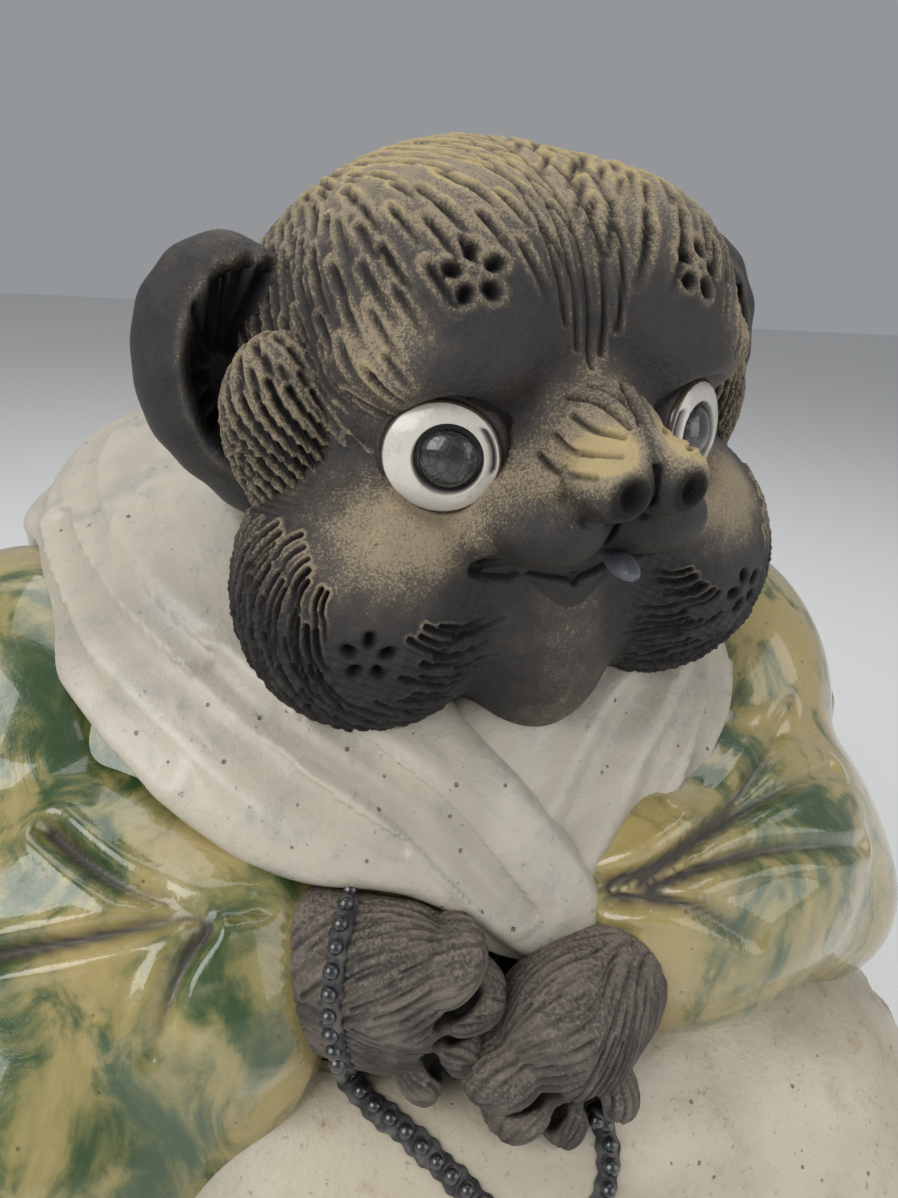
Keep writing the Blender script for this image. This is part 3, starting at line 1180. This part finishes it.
for name, outer, inner, thick, nodes, creases in (
        ("left_shawl", LEFT_OUTER, LEFT_INNER, 6.5, ("left_lapel",),
         [((70, 206), (30, 178), (14, 150)), ((56, 204), (22, 182), (8, 158)),
          ((84, 208), (44, 184), (22, 156)), ((60, 194), (34, 172), (18, 147))]),
        ("right_shawl", RIGHT_OUTER, RIGHT_INNER, 10.0, ("right_lapel", "nape_shawl"),
         [((-70, 206), (-34, 190), (-8, 166)), ((-100, 208), (-60, 196), (-34, 178)),
          ((-30, 192), (-10, 176), (2, 152)), ((-84, 220), (-58, 207), (-30, 193)),
          ((-16, 186), (-4, 172), (5, 150)), ((-130, 200), (-150, 180), (-160, 158)),
          ((-178, 222), (-172, 190), (-176, 156))])):
    rows, across = (530, 74) if nodes[-1] == "nape_shawl" else (400, 66)
    flat = slab(outer, inner, thick, rows, across)
    lines = [on_robe(*smooth_line(line, 12).T, np.full(12, thick)) for line in creases]
    crease, roll = score(flat, np.stack(lines), 4.2, 1.7, 0.9, 0.3)
    x, y, z = flat.T
    soft = (0.55 * np.sin(x * 0.11 + z * 0.06) * np.cos(z * 0.1 - y * 0.05)
            + 0.25 * np.sin(x * 0.31 + 2) * np.sin(z * 0.27))
    on_top = np.tile(np.arange(2 * across) < across, rows)
    out = unit(flat - [0, 30, 0] - flat * [0, 0, 1] + [0, 0, 8])
    loops = flat + out * ((roll - crease + soft) * on_top)[:, None]
    border = np.concatenate([np.linspace(0, 1, across), np.linspace(1, 0, across)])
    rim = np.clip(1 - np.minimum(border, 1 - border) / 0.02, 0, 1) * 0.35
    lay(name, loops, 2 * across, shawl_glaze, nodes,
        cut=np.clip(np.tile(rim, rows) + 0.25 * (crease / 1.7), 0, 1))

# %% [markdown]
# ## The paws
# A paw is a palm, a wrist and four toes. They are melted so little that a crease stays between
# the toes. Long fine strokes run from the wrist over the back of the paw to each toe.

# %% Build the paws
paw_clay = Finish("paw_clay", "grey_clay", Specular_IOR_Level=0.3)
cut = paw_clay.mark("cut")
cloud = paw_clay.noise(9, 4)
grain = paw_clay.noise(0.8, 3, 0.65)
colour = paw_clay.mix(paw_clay.ramp(cloud, 0.35, 0.7), (0.075, 0.065, 0.057), (0.17, 0.145, 0.12))
colour = paw_clay.mix(paw_clay.ramp(grain + paw_clay.mark("dust") * 0.3, 0.6, 0.85, 0.7), colour,
                      (0.27, 0.225, 0.17))
colour = paw_clay.mix(cut.low(1.0) * 0.92, colour, (0.012, 0.01, 0.009))
paw_clay.wear(Base_Color=colour, Roughness=0.62 + grain * 0.25, Normal=paw_clay.bump(grain, 0.45))

TOES = {-1: (46, 6, -36, -74), 1: (-172, -132, -90, -46)}
TOE_REACH = {-1: 12.5, 1: 14.5}
PALMS = {-1: np.array([-17.3, -84, 137.0]), 1: np.array([17.3, -91, 126.0])}


def paw_field(side):
    """One paw: a palm, a wrist beside it, and four toes that point away from the palm at the
    angles of TOES: 0 to the figure's left, 90 up."""
    palm, reach = PALMS[side], TOE_REACH[side]
    toes = [palm + [reach * np.cos(np.radians(a)), -4, 15 * np.sin(np.radians(a))] for a in TOES[side]]

    def field(p):
        d = ball(p, palm + [0, 0, 1], (15.5, 14.5, 18.5))
        d = melt(d, ball(p, palm + [13 * side, 8, 0], (18.5, 13.5, 19), 32 * side), 8)
        for angle, toe in zip(TOES[side], toes):
            d = melt(d, ball(p, toe, (9.5, 10.5, 5.9), spin(-angle, 1)), 0.6)
        return d
    return field


for side, name in SIDES:
    field, middle, columns, far = paw_field(side), PALMS[side] + [3.0 * side, 1, -1], 300, 52
    skin = trace(field, middle, fan(200, columns, 1), far)
    out = slopes(field, skin, 0.15)
    wrist = PALMS[side] + [24 * side, 4, 4 + 10 * side]
    fingers = [PALMS[side] + [20 * np.cos(np.radians(a)), -8, 20 * np.sin(np.radians(a))]
               for a in TOES[side]]

    def along_toes(p):
        """The way from the wrist, with that to the nearest toe's tip mixed in."""
        nearest = np.argmin([np.linalg.norm(p - f, axis=1) for f in fingers], axis=0)
        return unit(p - wrist) + 0.6 * unit(np.array(fingers)[nearest] - PALMS[side])

    seeds = trace(field, middle, golden(430), far)
    seeds = seeds[(seeds[:, 1] < middle[1] + 6)] + rng.normal(0, 0.6, 3)
    lines = walk(field, middle, seeds, along_toes, rng.uniform(6, 13, len(seeds)), far)
    gaps = []
    for low, high in zip(TOES[side][1:], TOES[side][:-1]):
        turn = np.radians((low + high) / 2)
        spoke = np.array([np.cos(turn), 0, np.sin(turn)])
        line = PALMS[side] + [0, -15, 0] + spoke * np.linspace(7.5, 26, 6)[:, None]
        gaps.append(trace(field, middle, unit(line - middle), far))
    paw_cut, paw_lip = score_by_hand(skin, lines, (0.4, 0.65), (0.35, 0.85), 0.3, 0.2)
    gap_cut, _ = score(skin, np.stack(gaps), 1.5, 4.2, 0, 0.8)
    paw_cut = np.maximum(paw_cut, gap_cut)
    valley = np.clip(field(skin + out * 1.2) - 0.9, -1, 0)
    crease = np.clip(-valley * 1.4, 0, 1)
    lay(f"{name}_paw_clay", skin + out * (paw_lip * (paw_cut < 0.3) - paw_cut)[:, None], columns,
        paw_clay.material, (f"{name}_paw",), cut=np.clip(paw_cut + crease, 0, 1),
        dust=np.clip(out[:, 2] * 0.6 + 0.2, 0, 1))

# %% [markdown]
# ## The string of beads
# A flat strip of dark clay runs over the wrist, under the paw and across the lap. Glossy beads
# are pressed into it. Its middle line follows pixels of the photograph back onto the clay, and
# the part below the picture closes the loop. Each ring of the grid is an oval section.

# %% Lay the strip and press in the beads


def under_beads(p):
    return np.minimum(np.minimum(lap_field(p), robe_field(p)),
                      np.minimum(paw_field(-1)(p), paw_field(1)(p)))


STRAND = [(351, 890), (340, 938), (333, 985), (334, 1030), (347, 1072), (371, 1104), (404, 1130),
          (440, 1164), (478, 1202), (512, 1236), (546, 1252), (580, 1240), (600, 1206), (608, 1168),
          (606, 1136), (598, 1112)]
strand = seen(under_beads, smooth_line(STRAND, 300))
kernel = np.hanning(9) / np.hanning(9).sum()
padded = np.vstack([np.repeat(strand[:1], 4, 0), strand, np.repeat(strand[-1:], 4, 0)])
strand = np.stack([np.convolve(padded[:, k], kernel, "valid") for k in range(3)], -1)
strand_out = slopes(under_beads, strand, 1.5)
strand_way = unit(np.gradient(strand, axis=0))
strand_side = unit(np.cross(strand_way, strand_out))
length = np.concatenate([[0], np.cumsum(np.linalg.norm(np.diff(strand, axis=0), axis=1))])
print("strand:", round(length[-1]), "mm")

strip_clay = Finish("strip_clay", "dark_clay", Specular_IOR_Level=0.35)
cloud = strip_clay.noise(3, 4)
colour = strip_clay.mix(strip_clay.ramp(cloud, 0.4, 0.7), (0.035, 0.034, 0.036), (0.13, 0.125, 0.12))
strip_clay.wear(Base_Color=colour, Roughness=0.55 + cloud * 0.3,
                Normal=strip_clay.bump(strip_clay.noise(0.7) + cloud, 0.5))
tube = np.linspace(0, 2 * np.pi, 20, endpoint=False)[:, None]
on_lap = np.clip((length - 38) / 10, 0, 1)
half = 2.2 + 0.5 * on_lap + 0.25 * np.sin(length * 1.7) + 0.2 * np.sin(length * 0.63 + 1)
fade = np.clip(np.minimum(length, length[-1] - length) / 3, 0.15, 1)
strip = (strand[:, None] + (half * fade)[:, None, None] * np.cos(tube) * strand_side[:, None]
         + (1.5 * fade)[:, None, None] * np.sin(tube) * strand_out[:, None])
lay("bead_strip_clay", strip, len(tube), strip_clay.material, ("bead_strip",))

bead_glaze = Finish("bead_glaze", "black_glaze", Coat_Weight=1.0, Coat_Roughness=0.04)
cloud = bead_glaze.noise(1.6, 3)
bead_glaze.wear(Base_Color=bead_glaze.mix(cloud, (0.006, 0.006, 0.007), (0.03, 0.03, 0.033)),
                Roughness=0.15 + cloud * 0.3, Normal=bead_glaze.bump(cloud, 0.2))


def pressed_beads(name, spots, radii, nodes):
    """Round beads as one mesh: a unit ball's grid, scaled, wobbled a little and copied."""
    v, w = polar(np.linspace(0.08, np.pi - 0.08, 10), 14)
    unit_ball = np.stack([np.sin(v) * np.cos(w), np.sin(v) * np.sin(w), np.cos(v)], -1).reshape(-1, 3)
    index = np.arange(len(unit_ball)).reshape(v.shape)
    beside = np.roll(index, -1, axis=1)
    quads = np.stack([index[:-1], index[1:], beside[1:], beside[:-1]], -1).reshape(-1, 4)
    points, faces = [], []
    for spot, radius in zip(spots, radii):
        first = len(points) * len(unit_ball)
        points.append(unit_ball * radius + spot)
        faces += [tuple(q) for q in quads + first]
        faces += [tuple(index[0] + first), tuple(index[-1][::-1] + first)]
    mesh = bpy.data.meshes.new(name)
    mesh.from_pydata((np.concatenate(points) * MM).tolist(), [], faces)
    mesh.update()
    mesh.shade_smooth()
    mesh.materials.append(bead_glaze.material)
    piece = bpy.data.objects.new(name, mesh)
    scene.collection.objects.link(piece)
    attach(piece, "root")
    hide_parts(*nodes)


SPACING, BEAD_RADIUS = 4.1, 1.75
places = np.arange(2.2, length[-1] - 2, SPACING)
where = np.stack([np.interp(places, length, strand[:, k]) for k in range(3)], -1)
lift = np.stack([np.interp(places, length, strand_out[:, k]) for k in range(3)], -1)
low_bead = np.argmin(where[:, 2])
small = np.arange(len(places)) != low_bead
pressed_beads("black_beads", where[small] + lift[small] * 1.35,
              BEAD_RADIUS + rng.uniform(-0.12, 0.12, small.sum()), ("beads",))
pressed_beads("large_bead", where[[low_bead]] + lift[[low_bead]] * 1.6, [3.2], ("parent_bead",))
print(len(places), "beads")

# %% [markdown]
# ## Floor, light and the last check
# One wide lamp stands at the left, as a window does, with weaker ones at the right and above.
# The floor and the world are pale.

# %% Light the figure


def lamp(name, place, aim, wide, watts):
    """A square lamp that shines from place to aim, both in millimetres."""
    data = bpy.data.lights.new(name, "AREA")
    data.size, data.energy = wide * MM, watts
    item = bpy.data.objects.new(name, data)
    scene.collection.objects.link(item)
    back = unit(np.array(place, float) - aim)
    side = unit(np.cross([0, 0, 1.0], back))
    turned = Matrix.Identity(4)
    for place_in, axis in enumerate((side, np.cross(back, side), back, np.array(place) * MM)):
        for row in range(3):
            turned[row][place_in] = axis[row]
    item.matrix_world = turned


lamp("window", (-900, -500, 800), (0, 0, 180), 900, 10)
lamp("room", (800, -700, 500), (0, 0, 160), 900, 4)
lamp("ceiling", (100, 300, 1100), (0, 0, 150), 900, 5)
world = bpy.data.worlds.new("room")
scene.world = world
world.use_nodes = True
sky = world.node_tree.nodes["Background"].inputs
sky["Color"].default_value = (0.85, 0.88, 0.92, 1)
sky["Strength"].default_value = 0.35
scene.view_settings.view_transform = "Standard"

floor_mesh = bpy.data.meshes.new("floor")
FLOOR_HALF = 3
corners = [(x * FLOOR_HALF, y * FLOOR_HALF, 0) for x, y in ((-1, -1), (1, -1), (1, 1), (-1, 1))]
floor_mesh.from_pydata(corners, [], [(0, 1, 2, 3)])
floor = bpy.data.objects.new("floor", floor_mesh)
scene.collection.objects.link(floor)
pale = bpy.data.materials.new("floor_paint")
pale.use_nodes = True
paint = pale.node_tree.nodes["Principled BSDF"].inputs
paint["Base Color"].default_value = (0.8, 0.8, 0.79, 1)
paint["Roughness"].default_value = 0.8
floor_mesh.materials.append(pale)
